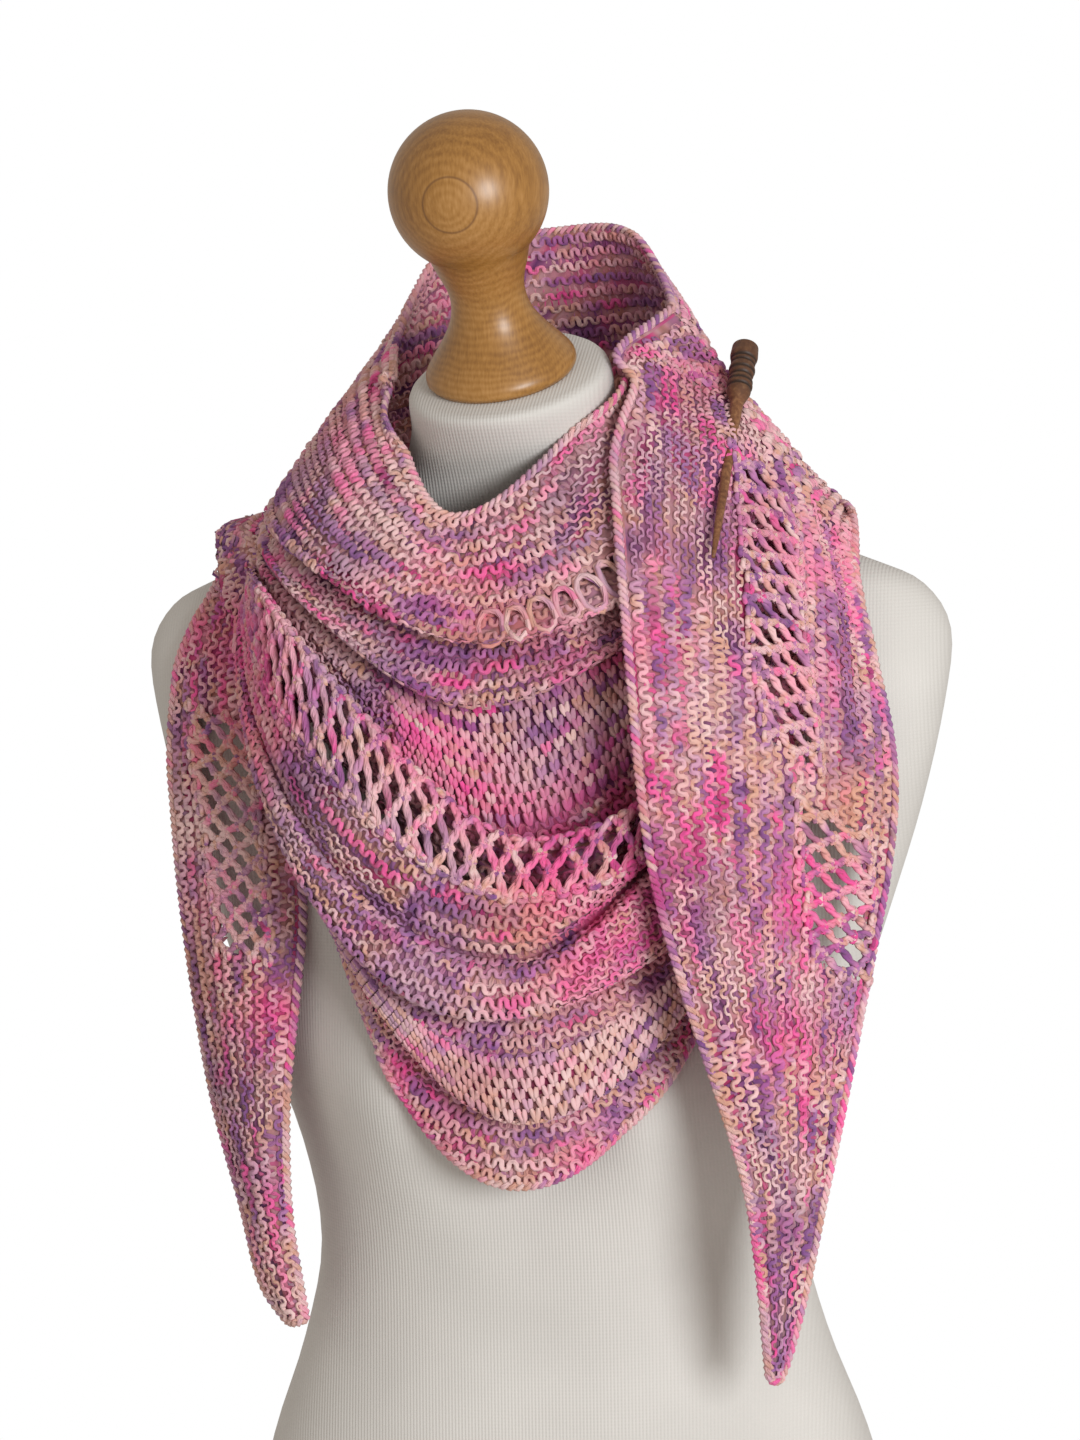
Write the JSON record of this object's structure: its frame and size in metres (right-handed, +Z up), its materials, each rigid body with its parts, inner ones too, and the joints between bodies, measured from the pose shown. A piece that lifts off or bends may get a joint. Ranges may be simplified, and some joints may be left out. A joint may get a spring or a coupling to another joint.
{
  "type": "hand-knit shawl on a limbless dress form",
  "caption": "Triangular hand-knit shawl in speckled yarn with lace bands, draped as a cowl, pinned with a wooden stick and standing on a limbless dress form",
  "frame": {"origin": "on the floor, under the middle of the form's flat base", "axes": "+Z up, -Y is the way the form faces, +X is towards the shoulder that carries the pinned tail"},
  "size_m": [0.39, 0.2724, 0.7395],
  "materials": {
    "knit": "matte",
    "jersey": "matte",
    "varnished_wood": "satin",
    "dark_wood": "satin"
  },
  "bodies": {
    "root": {"dress_form": "jersey", "neck_finial": "varnished_wood", "front_drape": "knit", "collar_wrap": "knit", "back_wrap": "knit", "right_tail": "knit", "left_tail": "knit", "shawl_stick": "dark_wood"}
  },
  "joints": []
}
